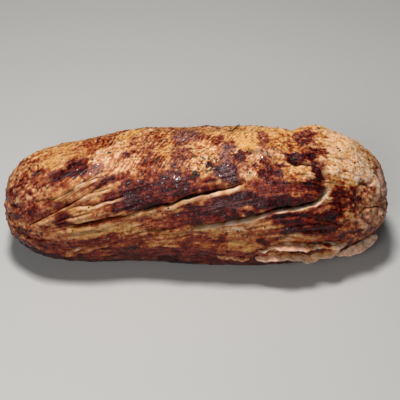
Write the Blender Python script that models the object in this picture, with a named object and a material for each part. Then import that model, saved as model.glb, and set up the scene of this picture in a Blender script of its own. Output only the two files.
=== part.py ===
"""A seared roast beef joint: one long loaf of beef, split along its front by deep folds.

The whole joint is a single solid. A point on it is named by two numbers: x, its place along the
length, and turn, its angle round the joint, from 0 on the top ridge to 90 on the front and 180 on
the underside (minus on the back). Sizes below are in millimetres and degrees, and the mesh is built
in metres with +Z up and the joint's length along X.
"""

import math

import bmesh
import bpy
import numpy as np

MM = 0.001

# ---- the loaf ----
LENGTH = 258.5
END_POWER = 3.3  # how squarely the two ends are rounded off
TOP_POWER = 2.25  # how square a cross-section is above its widest line
BOTTOM_POWER = 2.7  # and below it
WIDEST_AT = 0.46  # height of the widest line, as a share of the full height
SINK = 1.5  # how far the rounded underside is pressed flat by the weight of the meat

# x, half width, height, sideways place, and how far the underside curls up off the table
SECTIONS = (
    (-131, 43.0, 71.0, -0.5, 0.0),
    (-105, 45.5, 75.5, -4.0, 0.0),
    (-75, 45.0, 74.5, -2.5, 0.0),
    (-45, 46.0, 78.5, 1.5, 0.0),
    (0, 47.0, 81.5, 0.0, 0.0),
    (45, 48.0, 82.0, -1.5, 0.0),
    (80, 47.0, 81.0, -1.5, 0.0),
    (105, 46.0, 79.5, 1.0, 1.0),
    (131, 44.0, 77.0, 2.5, 3.0),
)

# ---- swellings and hollows left by the muscles: x, turn, height, reach along x, reach round ----
SWELLINGS = (
    (-70, -25, 1.5, 18, 14),
    (-100, 45, 1.2, 20, 18),
    (-20, 30, 1.6, 35, 20),
    (42, -20, 1.5, 30, 18),
    (60, 22, -2.2, 16, 6),
    (72, 34, 1.8, 14, 9),
    (84, -32, 2.2, 16, 12),
    (103, -24, 3.0, 12, 16),
    (100, 30, 1.6, 20, 18),
    (118, 88, 2.6, 13, 14),
    (-30, -80, 2.0, 45, 24),
    (55, -95, 2.4, 40, 22),
)

# ---- folds: each is a slit that follows a line, with flesh rolled over it and a lip below it ----
# depth of the slit, overhang of the flesh above, swelling above, lip below, and the line (x, turn)
FOLDS = (
    # the long split that climbs the front from left to middle
    (5.0, 2.8, 3.6, 1.2, ((-82, 73), (-60, 71), (-40, 68.5), (-21, 61), (-5, 55), (12, 50), (31, 43))),
    # the second split, which carries on below it to the right
    (4.8, 2.8, 3.6, 1.2, ((-4, 78), (14, 76), (33, 71.5), (55, 64.5), (70, 61.5), (79, 57), (86, 48))),
    # creases at the left end
    (2.2, 0.8, 0.8, 0.8, ((-117, 29), (-103, 18), (-94, 15))),
    (2.4, -1.2, 1.2, -0.8, ((-99, 33), (-89, 25), (-82, 14), (-71, 8))),
    (2.6, 0.8, 0.6, 1.2, ((-94, 50), (-84, 45), (-76, 38.5), (-66, 31))),
    (3.4, 1.6, 2.0, 1.0, ((-109, 77), (-99, 67), (-86, 56), (-74, 49), (-58, 41))),
    (1.8, 0.6, 0.4, 0.9, ((-80, 57), (-65, 55.5), (-54, 52), (-44, 50))),
    (1.8, 0.6, 0.4, 0.9, ((-88, 107), (-80, 100), (-68, 93))),
    # the crevice above the thin flaps at the lower right, and the one between those flaps
    (4.4, 1.6, 1.2, 2.0, ((40, 101), (51, 94.5), (60, 91), (70, 93.5), (82, 96), (96, 102))),
    (2.2, 0.6, 0.4, 1.4, ((46, 104), (60, 102), (72, 107))),
    # cracks at the right end
    (2.6, 0.8, 0.6, 0.6, ((108, 64), (116, 61.5), (125, 60))),
    (2.0, 0.6, 0.5, 0.5, ((104, 44), (112, 40), (122, 38))),
    # folds at the back and along the underside
    (4.2, 2.2, 3.2, 1.0, ((-96, -66), (-60, -73), (-15, -70), (28, -60))),
    (3.8, 2.0, 2.8, 1.0, ((-8, -92), (30, -86), (64, -74), (96, -62))),
    (2.2, 0.8, 0.8, 1.0, ((-112, -88), (-80, -98), (-46, -96))),
    (2.0, 0.6, 0.6, 0.8, ((44, -28), (66, -34), (84, -30))),
)
SLIT_WIDTH = 1.4
ROLL_REACH = 11.0
LIP_REACH = 3.4
FADE = 11.0  # how far a fold takes to run out at each end

# ---- long bundles of muscle under the crust ----
# height, how many round the joint, how far they wander, over what length, and where they start
BUNDLES = (
    (0.9, 3, 0.9, 61.0, 0.4),
    (0.6, 7, 1.3, 37.0, 1.9),
    (0.4, 11, 1.6, 23.0, 3.1),
)

# ---- the loose flap at the lower right: a tongue of meat that stands off the joint ----
FLAP_MIDDLE = (106.5, -27.0, 15.0)
FLAP_SIZE = (38.0, 22.0, 7.0)
FLAP_TURN = 24.0  # how far it swings round with the end of the joint
FLAP_TIP = -20.0  # how far its outer edge hangs down
FLAP_ROUNDNESS = 0.75
FLAP_THINNING = 0.25

# ---- mesh ----
RINGS = 200
COLUMNS = 300
FACES_WANTED = 7600
BROWNED_BEEF = (0.24, 0.075, 0.030, 1.0)


def smooth_curve(x, table, column):
    """A smooth value between the rows of a table, whose first column is x."""
    rows = np.array(table, float)
    places, values = rows[:, 0], rows[:, column]
    slopes = np.gradient(values, places)
    row = np.clip(np.searchsorted(places, x) - 1, 0, len(places) - 2)
    gap = places[row + 1] - places[row]
    t = np.clip((x - places[row]) / gap, 0, 1)
    start = (2 * t**3 - 3 * t**2 + 1) * values[row] + (t**3 - 2 * t**2 + t) * gap * slopes[row]
    end = (3 * t**2 - 2 * t**3) * values[row + 1] + (t**3 - t**2) * gap * slopes[row + 1]
    return start + end


def end_taper(x):
    """How full the loaf is at x: 1 along the middle, falling to 0 at the rounded ends."""
    return np.clip(1 - np.abs(2 * x / LENGTH) ** END_POWER, 1e-6, 1) ** (1 / END_POWER)


def loaf(x, turn):
    """The plain loaf before its folds: points for arrays of x (mm) and turn (radians)."""
    taper = end_taper(x)
    half_width = smooth_curve(x, SECTIONS, 1) * taper
    height = smooth_curve(x, SECTIONS, 2)
    sideways = smooth_curve(x, SECTIONS, 3)
    curl = smooth_curve(x, SECTIONS, 4)
    middle = WIDEST_AT * height
    above = np.cos(turn) >= 0
    reach = np.where(above, height - middle, middle - curl) * np.where(above, taper, taper**0.95)
    power = np.where(above, TOP_POWER, BOTTOM_POWER)
    across = np.abs(np.sin(turn)) / half_width
    upright = np.abs(np.cos(turn)) / reach
    radius = (across**power + upright**power) ** (-1 / power)
    return np.stack([x, sideways - radius * np.sin(turn), middle + radius * np.cos(turn)], -1)


def even_steps_along_length():
    """Ring places along x, spaced evenly along the loaf's outline, so that the ends stay round."""
    x = np.linspace(-LENGTH / 2, LENGTH / 2, 4001)
    half = SECTIONS[0][1] * end_taper(x)
    walked = np.concatenate([[0], np.cumsum(np.hypot(np.diff(x), np.diff(half)))])
    return np.interp(np.linspace(0, walked[-1], RINGS + 2)[1:-1], walked, x)


def outward_normals(points):
    """Normals of a grid of points whose second direction closes on itself."""
    along = np.gradient(points, axis=0)
    around = np.roll(points, -1, 1) - np.roll(points, 1, 1)
    normals = np.cross(around, along)
    normals /= np.linalg.norm(normals, axis=-1, keepdims=True) + 1e-12
    return normals, around / (np.linalg.norm(around, axis=-1, keepdims=True) + 1e-12)


def folded(points, x, turn):
    """The loaf's grid with its swellings and folds worked into it."""
    normals, around = outward_normals(points)
    girth = np.linalg.norm(np.diff(points, axis=1), axis=-1)
    walked = np.concatenate([np.zeros((len(points), 1)), np.cumsum(girth, 1)], 1)
    raised = np.zeros_like(x)
    slid = np.zeros_like(x)
    for at_x, at_turn, height, reach_x, reach_turn in SWELLINGS:
        off = ((x - at_x) / reach_x) ** 2 + ((np.degrees(turn) - at_turn) / reach_turn) ** 2
        raised += height * np.exp(-off)
    full = end_taper(x) ** 3
    for height, count, swing, wave, start in BUNDLES:
        wander = swing * np.sin(x / wave + start) + start
        raised += full * height * np.sin(count * turn + wander) * np.cos(x / wave)
    for depth, overhang, swelling, lip, line in FOLDS:
        first, last = line[0][0], line[-1][0]
        fold_turn = np.radians(smooth_curve(x[:, 0], line, 1))
        fold_at = np.array([np.interp(a, turn[0], w) for a, w in zip(fold_turn, walked)])
        downhill = 1 if line[0][1] > 0 else -1
        below = (walked - fold_at[:, None]) * downhill
        ends = np.clip(np.minimum(x - first, last - x) / FADE, 0, 1)
        ends = ends**2 * (3 - 2 * ends)
        edge = np.exp(-((below / (2.0 * SLIT_WIDTH)) ** 2))
        raised += ends * swelling * np.where(below < 0, np.exp(below / ROLL_REACH), 0) * (1 - edge)
        raised += ends * lip * np.exp(-(((below - LIP_REACH - SLIT_WIDTH) / LIP_REACH) ** 2))
        raised -= ends * depth * np.exp(-(((below - 0.5) / SLIT_WIDTH) ** 2))
        slid += ends * downhill * overhang * np.exp(-(((below + 1.2) / (1.4 * SLIT_WIDTH)) ** 2))
    return points + normals * raised[..., None] + around * slid[..., None]


def joint_mesh(name):
    """The joint as rings of points, closed by a point at each end."""
    turn_row = np.linspace(-math.pi, math.pi, COLUMNS, endpoint=False)
    x, turn = np.meshgrid(even_steps_along_length(), turn_row, indexing="ij")
    points = folded(loaf(x, turn), x, turn) * MM
    points[..., 2] -= SINK * MM
    middle = WIDEST_AT * smooth_curve(np.array([-LENGTH / 2, LENGTH / 2]), SECTIONS, 2) - SINK
    sideways = smooth_curve(np.array([-LENGTH / 2, LENGTH / 2]), SECTIONS, 3)
    mesh = bmesh.new()
    rings = [[mesh.verts.new(point) for point in ring] for ring in points]
    left = mesh.verts.new((-LENGTH / 2 * MM, sideways[0] * MM, middle[0] * MM))
    right = mesh.verts.new((LENGTH / 2 * MM, sideways[1] * MM, middle[1] * MM))
    for one, other in zip(rings, rings[1:]):
        for i in range(COLUMNS):
            j = (i + 1) % COLUMNS
            mesh.faces.new((one[i], other[i], other[j], one[j]))
    for i in range(COLUMNS):
        j = (i + 1) % COLUMNS
        mesh.faces.new((left, rings[0][i], rings[0][j]))
        mesh.faces.new((right, rings[-1][j], rings[-1][i]))
    bmesh.ops.recalc_face_normals(mesh, faces=mesh.faces)
    data = bpy.data.meshes.new(name)
    mesh.to_mesh(data)
    mesh.free()
    return data


def flap_mesh(name):
    """A flat rounded tongue, thinner towards its outer edge."""
    mesh = bmesh.new()
    bmesh.ops.create_cube(mesh, size=1)
    bmesh.ops.subdivide_edges(mesh, edges=mesh.edges, cuts=5, use_grid_fill=True)
    for vertex in mesh.verts:
        cube = np.array(vertex.co) * 2
        rounded = cube / np.linalg.norm(cube) * np.abs(cube).max()
        blunt = (1 - FLAP_ROUNDNESS) * cube + FLAP_ROUNDNESS * rounded
        thin = 1 - FLAP_THINNING * max(0.0, -blunt[1])
        vertex.co = blunt * (1, 1, thin) * np.array(FLAP_SIZE) / 2 * MM
    bmesh.ops.recalc_face_normals(mesh, faces=mesh.faces)
    data = bpy.data.meshes.new(name)
    mesh.to_mesh(data)
    mesh.free()
    return data


def helper(name, data):
    """A shape that only cuts or joins, and isn't a piece of its own."""
    shape = bpy.data.objects.new(name, data)
    bpy.context.collection.objects.link(shape)
    shape.hide_render = True
    shape.display_type = "WIRE"
    return shape


def floor_block():
    """A block whose top face is the table, which flattens the joint's underside."""
    mesh = bmesh.new()
    bmesh.ops.create_cube(mesh, size=1)
    data = bpy.data.meshes.new("table_block")
    mesh.to_mesh(data)
    mesh.free()
    block = helper("table_block", data)
    block.scale = (0.4, 0.2, 0.04)
    block.location.z = -block.scale.z / 2
    return block


def browned_beef():
    material = bpy.data.materials.new("browned_beef")
    material.use_nodes = True
    shader = material.node_tree.nodes["Principled BSDF"]
    shader.inputs["Base Color"].default_value = BROWNED_BEEF
    shader.inputs["Roughness"].default_value = 0.42
    shader.inputs["Metallic"].default_value = 0.0
    return material


def add_boolean(piece, operation, other):
    cut = piece.modifiers.new(operation.lower(), "BOOLEAN")
    cut.operation = operation
    cut.solver = "EXACT"
    cut.object = other


for old in list(bpy.data.objects):
    bpy.data.objects.remove(old, do_unlink=True)

roast = bpy.data.objects.new("roast_beef", joint_mesh("roast_beef"))
bpy.context.collection.objects.link(roast)
roast.data.materials.append(browned_beef())

thinned = roast.modifiers.new("thinned", "DECIMATE")
thinned.ratio = FACES_WANTED / (2 * COLUMNS * RINGS)

flap = helper("loose_flap", flap_mesh("loose_flap"))
flap.location = [place * MM for place in FLAP_MIDDLE]
flap.rotation_euler = (math.radians(FLAP_TIP), 0, math.radians(FLAP_TURN))
add_boolean(roast, "UNION", flap)
add_boolean(roast, "DIFFERENCE", floor_block())

for polygon in roast.data.polygons:
    polygon.use_smooth = True
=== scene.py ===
import math

import bpy
import numpy as np
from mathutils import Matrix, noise


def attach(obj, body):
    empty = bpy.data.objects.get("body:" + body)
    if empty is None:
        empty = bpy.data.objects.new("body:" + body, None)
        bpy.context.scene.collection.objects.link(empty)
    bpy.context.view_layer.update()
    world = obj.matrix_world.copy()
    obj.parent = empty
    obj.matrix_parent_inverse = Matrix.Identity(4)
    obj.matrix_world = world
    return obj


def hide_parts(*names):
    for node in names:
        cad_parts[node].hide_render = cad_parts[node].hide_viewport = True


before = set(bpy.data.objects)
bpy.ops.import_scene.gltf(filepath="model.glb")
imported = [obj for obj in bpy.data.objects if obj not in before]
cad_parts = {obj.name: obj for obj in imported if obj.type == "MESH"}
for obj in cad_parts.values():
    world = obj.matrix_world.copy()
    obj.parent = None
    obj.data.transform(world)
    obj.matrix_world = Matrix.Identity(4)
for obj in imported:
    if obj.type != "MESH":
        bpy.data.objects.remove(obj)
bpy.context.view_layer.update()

MM = 0.001


# ---------------------------------------------------------------------------
# The viewpoint: a long lens about seventy centimetres from the meat, looking down on its front at
# 38 degrees, as a cook standing at the worktop sees it.
LOOK_DOWN = math.radians(38)
VIEW_DISTANCE = 0.72
VIEW_CENTRE = (0.003, -0.0035, 0.0345)
VIEW_WIDTH = 0.2745

bpy.ops.object.select_all(action="DESELECT")
back = (0, -math.cos(LOOK_DOWN), math.sin(LOOK_DOWN))
place = [c + b * VIEW_DISTANCE for c, b in zip(VIEW_CENTRE, back)]
bpy.ops.object.camera_add(location=place, rotation=(math.pi / 2 - LOOK_DOWN, 0, 0))
camera = bpy.context.object
camera.data.lens = camera.data.sensor_width * VIEW_DISTANCE / VIEW_WIDTH
bpy.context.scene.camera = camera
bpy.context.scene.view_settings.view_transform = "Standard"


# ---------------------------------------------------------------------------
# The light: one soft lamp above, a weaker and broader one in front, and a faint even fill.
KEY_LAMP_POWER = 7.4
FRONT_LAMP_POWER = 3.0
ROOM_LIGHT = 0.035


def soft_lamp(name, where, size, power):
    bpy.ops.object.light_add(type="AREA", location=where)
    lamp = bpy.context.object
    lamp.name = name
    lamp.data.size = size
    lamp.data.energy = power
    aim = -lamp.location
    lamp.rotation_euler = aim.to_track_quat("-Z", "Y").to_euler()
    return lamp


soft_lamp("key_lamp", (-0.10, 0.04, 1.00), 0.20, KEY_LAMP_POWER)
soft_lamp("front_lamp", (-0.25, -0.80, 0.55), 0.35, FRONT_LAMP_POWER)
world = bpy.data.worlds.new("pale_room")
world.use_nodes = True
world.node_tree.nodes["Background"].inputs["Color"].default_value = (1, 1, 1, 1)
world.node_tree.nodes["Background"].inputs["Strength"].default_value = ROOM_LIGHT
bpy.context.scene.world = world


# ---------------------------------------------------------------------------
# The floor: a plain pale worktop, which isn't part of the object.
bpy.ops.mesh.primitive_plane_add(size=4.0, location=(0, 0, 0))
floor = bpy.context.object
floor.name = "worktop"
pale = bpy.data.materials.new("pale_worktop")
pale.use_nodes = True
pale.node_tree.nodes["Principled BSDF"].inputs["Base Color"].default_value = (0.60, 0.59, 0.57, 1)
pale.node_tree.nodes["Principled BSDF"].inputs["Roughness"].default_value = 0.75
floor.data.materials.append(pale)


# ---------------------------------------------------------------------------
# The joint: one long loaf of beef, seared all over. Its muscles run lengthwise and have parted in
# long splits along the front, where the flesh above rolls over a pale ledge. It is modelled from
# a ball drawn out to the loaf's outline, then worked point by point: turn is the angle round the
# loaf, 0 on the top ridge, 90 on the front, 180 underneath and minus on the back.
LENGTH = 258.5
END_POWER = 3.3
TOP_POWER = 2.25
BOTTOM_POWER = 2.7
WIDEST_AT = 0.46
SINK = 1.5
# x, half width, height, sideways place, and how far the underside curls up off the table
SECTIONS = (
    (-131, 43.0, 71.0, -0.5, 0.0),
    (-105, 45.5, 75.5, -4.0, 0.0),
    (-75, 45.0, 74.5, -2.5, 0.0),
    (-45, 46.0, 78.5, 1.5, 0.0),
    (0, 47.0, 81.5, 0.0, 0.0),
    (45, 48.0, 82.0, -1.5, 0.0),
    (80, 47.0, 81.0, -1.5, 0.0),
    (105, 46.0, 79.5, 1.0, 1.0),
    (131, 44.0, 77.0, 2.5, 3.0),
)
AROUND = 400
ALONG = 244
FRONT_CLOSENESS = 0.4  # the points lie closer together towards FRONT_TURN
FRONT_TURN = math.radians(35)


def smooth_curve(at, rows, column):
    """A smooth value between the rows of a table, whose first column is the place."""
    rows = np.array(rows, float)
    places, values = rows[:, 0], rows[:, column]
    slopes = np.gradient(values, places)
    row = np.clip(np.searchsorted(places, at) - 1, 0, len(places) - 2)
    gap = places[row + 1] - places[row]
    t = np.clip((at - places[row]) / gap, 0, 1)
    start = (2 * t**3 - 3 * t**2 + 1) * values[row] + (t**3 - 2 * t**2 + t) * gap * slopes[row]
    end = (3 * t**2 - 2 * t**3) * values[row + 1] + (t**3 - t**2) * gap * slopes[row + 1]
    return start + end


def end_taper(at):
    """How full the loaf is: 1 along the middle, falling to 0 at the rounded ends."""
    return np.clip(1 - np.abs(2 * at / LENGTH) ** END_POWER, 1e-6, 1) ** (1 / END_POWER)


def loaf(at, angle):
    """The plain loaf before its folds, in millimetres."""
    taper = end_taper(at)
    half_width = smooth_curve(at, SECTIONS, 1) * taper
    height = smooth_curve(at, SECTIONS, 2)
    sideways = smooth_curve(at, SECTIONS, 3)
    curl = smooth_curve(at, SECTIONS, 4)
    middle = WIDEST_AT * height
    above = np.cos(angle) >= 0
    reach = np.where(above, height - middle, middle - curl) * np.where(above, taper, taper**0.95)
    power = np.where(above, TOP_POWER, BOTTOM_POWER)
    across = np.abs(np.sin(angle)) / half_width
    upright = np.abs(np.cos(angle)) / reach
    radius = (across**power + upright**power) ** (-1 / power)
    return np.stack([at, sideways - radius * np.sin(angle), middle + radius * np.cos(angle)], -1)


outline_x = np.linspace(-LENGTH / 2, LENGTH / 2, 4001)
outline_step = np.hypot(np.diff(outline_x), np.diff(SECTIONS[0][1] * end_taper(outline_x)))
outline_walk = np.concatenate([[0], np.cumsum(outline_step)]) / outline_step.sum()

bpy.ops.object.select_all(action="DESELECT")
bpy.ops.mesh.primitive_uv_sphere_add(
    segments=AROUND, ring_count=ALONG, radius=1, rotation=(0, math.pi / 2, 0)
)
joint = bpy.context.object
joint.name = "seared_joint"
bpy.ops.object.transform_apply(location=False, rotation=True, scale=False)
points = np.empty(len(joint.data.vertices) * 3)
joint.data.vertices.foreach_get("co", points)
points = points.reshape(-1, 3)
share = 0.5 + np.arcsin(np.clip(points[:, 0], -1, 1)) / math.pi
x = np.interp(share, outline_walk, outline_x)

# The grain: guide lines (x, turn) along which the muscles lie, each with a fibre number, which is
# about its turn at mid length. The mesh's own lines run along them too, so the folds come out clean.
GUIDES = (
    (-180, ((-130, -180), (0, -180), (130, -180))),
    (-140, ((-130, -140), (0, -140), (130, -140))),
    (-92, ((-130, -96), (-60, -97), (-12, -93), (30, -86), (64, -74), (84, -67), (99, -62), (130, -72))),
    (-70, ((-130, -62), (-100, -64), (-78, -70), (-50, -73), (-15, -70), (8, -65), (32, -58), (60, -50),
        (84, -44), (130, -50))),
    (-30, ((-130, -8), (-90, -26), (0, -30), (130, -22))),
    (-12, ((-130, 44), (-112, 38), (-100, 33), (-94, 28.5), (-89, 24), (-84, 18), (-79, 12), (-69, 5),
        (-50, -4), (-25, -10), (0, -12), (40, -13), (80, -9), (110, 2), (130, 12))),
    (8, ((-130, 58), (-110, 54), (-95, 50), (-89, 48), (-84, 45), (-80, 42.5), (-76, 38.5), (-70, 34.5),
        (-58, 27), (-40, 17), (-20, 11), (0, 8), (40, 6), (80, 8), (110, 20), (130, 30))),
    (27, ((-130, 80), (-109, 77), (-104, 71.5), (-99, 67), (-91, 60), (-86, 56), (-82, 53.5), (-74, 49),
        (-67, 45), (-56, 40), (-40, 34), (-20, 30), (0, 27), (40, 23), (80, 25), (110, 38), (130, 46))),
    (54, ((-130, 89), (-109, 84), (-95, 78), (-84, 74), (-70, 71.5), (-50, 70), (-40, 68.5), (-32, 65.5),
        (-26, 62), (-21, 60.5), (-15, 59.5), (-10, 56.5), (-5, 55), (4, 52.5), (12, 50), (22, 47.5),
        (33, 43), (50, 41), (80, 43), (110, 52), (130, 60))),
    (78, ((-130, 96), (-109, 94), (-84, 92), (-50, 88), (-20, 82), (-5, 78), (14, 76), (20, 73),
        (33, 71.5), (44, 67), (55, 64.3), (63, 63), (70, 61.7), (84, 60), (96, 61), (110, 66), (130, 71))),
    (89, ((-130, 102), (-109, 101), (-84, 100), (-50, 95), (-20, 91), (0, 89), (33, 86), (60, 82),
        (96, 82), (130, 84))),
    (103, ((-130, 114), (-90, 108), (-60, 104), (0, 103), (38, 102), (44, 97), (51, 94.2), (60, 90.5),
        (70, 93.5), (79, 97), (91, 98), (98, 102), (130, 104))),
    (120, ((-130, 124), (0, 119), (60, 116), (130, 120))),
    (150, ((-130, 150), (0, 150), (130, 150))),
    (180, ((-130, 180), (0, 180), (130, 180))),
)
FIBRE_MM = 0.8  # one fibre number is about this wide


def turn_of(number):
    """The turn in degrees, at each point's x, of the fibre with each point's number."""
    found = np.zeros_like(x)
    for (low, low_line), (high, high_line) in zip(GUIDES, GUIDES[1:]):
        here = (number >= low) & (number < high)
        low_turn, high_turn = (smooth_curve(x, line, 1) for line in (low_line, high_line))
        found = np.where(here, low_turn + (number - low) / (high - low) * (high_turn - low_turn), found)
    return found


even_turn = np.arctan2(-points[:, 1], points[:, 2])
fibre = np.degrees(even_turn - FRONT_CLOSENESS * np.sin(even_turn - FRONT_TURN))
fibre = (fibre + 180) % 360 - 180
degrees = turn_of(fibre)
fibre_width = (turn_of(np.minimum(fibre + 0.5, 179.99)) - degrees) / 0.5
turn = np.radians(degrees)
points = loaf(x, turn)
tip = np.abs(share - 0.5) > 0.49999
points[tip] = np.stack(
    [x, smooth_curve(x, SECTIONS, 3), WIDEST_AT * smooth_curve(x, SECTIONS, 2)], -1
)[tip]

# the outward and the round-the-loaf directions at every point, and how many mm one degree spans
small = 1e-3
ahead = loaf(np.interp(np.clip(share + small, 0, 1), outline_walk, outline_x), turn)
behind = loaf(np.interp(np.clip(share - small, 0, 1), outline_walk, outline_x), turn)
onward = loaf(x, turn + small) - loaf(x, turn - small)
outward = np.cross(onward, ahead - behind)
outward /= np.linalg.norm(outward, axis=1, keepdims=True) + 1e-12
per_degree = np.linalg.norm(onward, axis=1) / (2 * math.degrees(small))
onward /= np.linalg.norm(onward, axis=1, keepdims=True) + 1e-12
fibre_width = np.clip(fibre_width, 0.05, 4) * per_degree
fullness = end_taper(x)
strand_place = np.stack([x, fibre * FIBRE_MM, np.zeros_like(x)], -1)
cross_place = np.stack([x * 0.91 + degrees * 0.33, degrees * 0.73 - x * 0.41, np.zeros_like(x)], -1)


def grain(where, size, seed=0.0):
    """Smooth noise from about -1 to 1 at points in mm, with features of the given size."""
    scaled = where / np.array(size, float) + seed * 7.31
    return np.array([noise.noise(place) for place in scaled.tolist()]) * 1.6


def ease(low, high, value):
    """0 below low, 1 above high and smooth between."""
    t = np.clip((value - low) / (high - low), 0, 1)
    return t * t * (3 - 2 * t)


def beside(line, fade):
    """For the points near a line (x, turn): which they are, how far below it they lie in mm, how far
    along it from 0 to 1, and a strength that falls to 0 at its two ends."""
    knots = np.array(line, float)
    rows = np.column_stack([np.arange(len(knots)), knots])
    fine = np.linspace(0, len(knots) - 1, 14 * len(knots))
    line_x, line_turn = smooth_curve(fine, rows, 1), smooth_curve(fine, rows, 2)
    near = (x > line_x.min() - 25) & (x < line_x.max() + 25)
    near &= (degrees > line_turn.min() - 40) & (degrees < line_turn.max() + 40)
    span = per_degree[near, None]
    off_x, off_turn = x[near, None] - line_x, (degrees[near, None] - line_turn) * span
    nearest = np.argmin(off_x**2 + off_turn**2, 1)
    pick = np.arange(len(nearest)), nearest
    step_x, step_turn = np.gradient(line_x)[nearest], np.gradient(line_turn)[nearest] * span[:, 0]
    side = 1 if line[0][1] > 0 else -1
    below = (step_x * off_turn[pick] - step_turn * off_x[pick]) * side / np.hypot(step_x, step_turn)
    away = np.hypot(off_x[pick], off_turn[pick])
    below = np.where(below < 0, -away, away)
    walked = np.concatenate([[0], np.cumsum(np.hypot(np.diff(line_x), np.diff(line_turn) * 0.78))])
    strength = ease(0, 1, np.minimum(walked, walked[-1] - walked)[nearest] / fade)
    return near, below, (walked / walked[-1])[nearest], strength


body_place = points.copy()
raised = np.zeros_like(x)
slid = np.zeros_like(x)
rim = np.zeros_like(x)
cleft_shade = np.zeros_like(x)

# Swellings and hollows left by the muscles: x, turn, height, reach along x, reach round
SWELLINGS = (
    (-70, -25, 1.5, 18, 14),
    (-100, 45, 1.2, 20, 18),
    (-20, 30, 1.6, 35, 20),
    (42, -20, 1.5, 30, 18),
    (60, 22, -2.2, 16, 6),
    (72, 34, 1.8, 14, 9),
    (84, -32, 2.2, 16, 12),
    (103, -24, 3.0, 12, 16),
    (100, 30, 1.6, 20, 18),
    (118, 88, 2.6, 13, 14),
    (-30, -80, 2.0, 45, 24),
    (55, -95, 2.4, 40, 22),
    (80, -32, 2.0, 8, 13),
    (65, -34, -1.8, 5, 12),
    (38, -36, 1.2, 9, 12),
    (8, -36, 1.0, 6, 12),
    (-34, -32, 1.4, 9, 14),
    (-58, -30, -1.0, 6, 14),
    (90, -36, 1.4, 6, 14),
    (101, -8, 1.6, 5, 9),
    (108, 14, 1.4, 5, 8),
)
for at_x, at_turn, height, reach_x, reach_turn in SWELLINGS:
    raised += height * np.exp(-(((x - at_x) / reach_x) ** 2) - ((degrees - at_turn) / reach_turn) ** 2)

# Long bundles of muscle: height, how many round the joint, how they wander, over what length, start
BUNDLES = ((0.9, 3, 0.9, 61.0, 0.4), (0.6, 7, 1.3, 37.0, 1.9), (0.4, 11, 1.6, 23.0, 3.1))
for height, count, swing, wave, start in BUNDLES:
    wander = swing * np.sin(x / wave + start) + start
    raised += fullness**3 * height * np.sin(count * turn + wander) * np.cos(x / wave)

# The bundles part most at the left end, where each one between two guide lines stands up by itself
left_parting = (1 - ease(-66, -30, x)) * fullness**2
for (low, _), (high, _) in zip(GUIDES[5:11], GUIDES[6:12]):
    across = np.clip((fibre - low) / (high - low), 0, 1)
    between_bounds = (across > 0) & (across < 1)
    arched = np.sqrt(np.sin(across * math.pi).clip(0, 1)) - 0.5
    raised += 1.5 * left_parting * arched * between_bounds

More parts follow.
